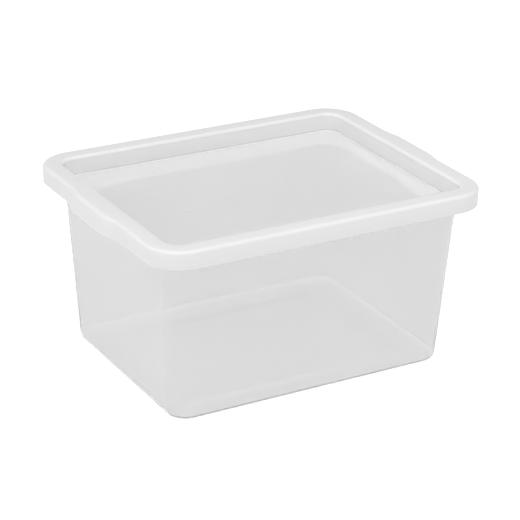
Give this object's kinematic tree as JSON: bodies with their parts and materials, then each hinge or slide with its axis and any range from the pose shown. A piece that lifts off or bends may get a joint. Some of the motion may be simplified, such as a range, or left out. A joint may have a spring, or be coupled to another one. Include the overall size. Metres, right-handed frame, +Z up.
{
  "type": "plastic storage box with lid",
  "caption": "Translucent rectangular storage box with drafted walls and a press-on lid that has a recessed panel, a flat rim and a skirt flared into grips at the short ends.",
  "frame": {"origin": "middle of the base, on the surface that the box stands on", "axes": "+X along the length, between the short ends with the grips; +Y along the width; +Z up, the way the lid lifts"},
  "size_m": [0.457, 0.35, 0.231],
  "materials": {
    "box_polypropylene": "natural translucent polypropylene, injection-moulded, satin to gloss",
    "lid_polypropylene": "natural translucent polypropylene, injection-moulded, glossy panel"
  },
  "bodies": {
    "box": {"box": "box_polypropylene"},
    "lid": {"lid": "lid_polypropylene"}
  },
  "joints": [
    {"name": "lid_lift", "type": "slide", "parent": "box", "child": "lid", "axis": [0, 0, 1], "range_m": [0, 0.15]}
  ]
}
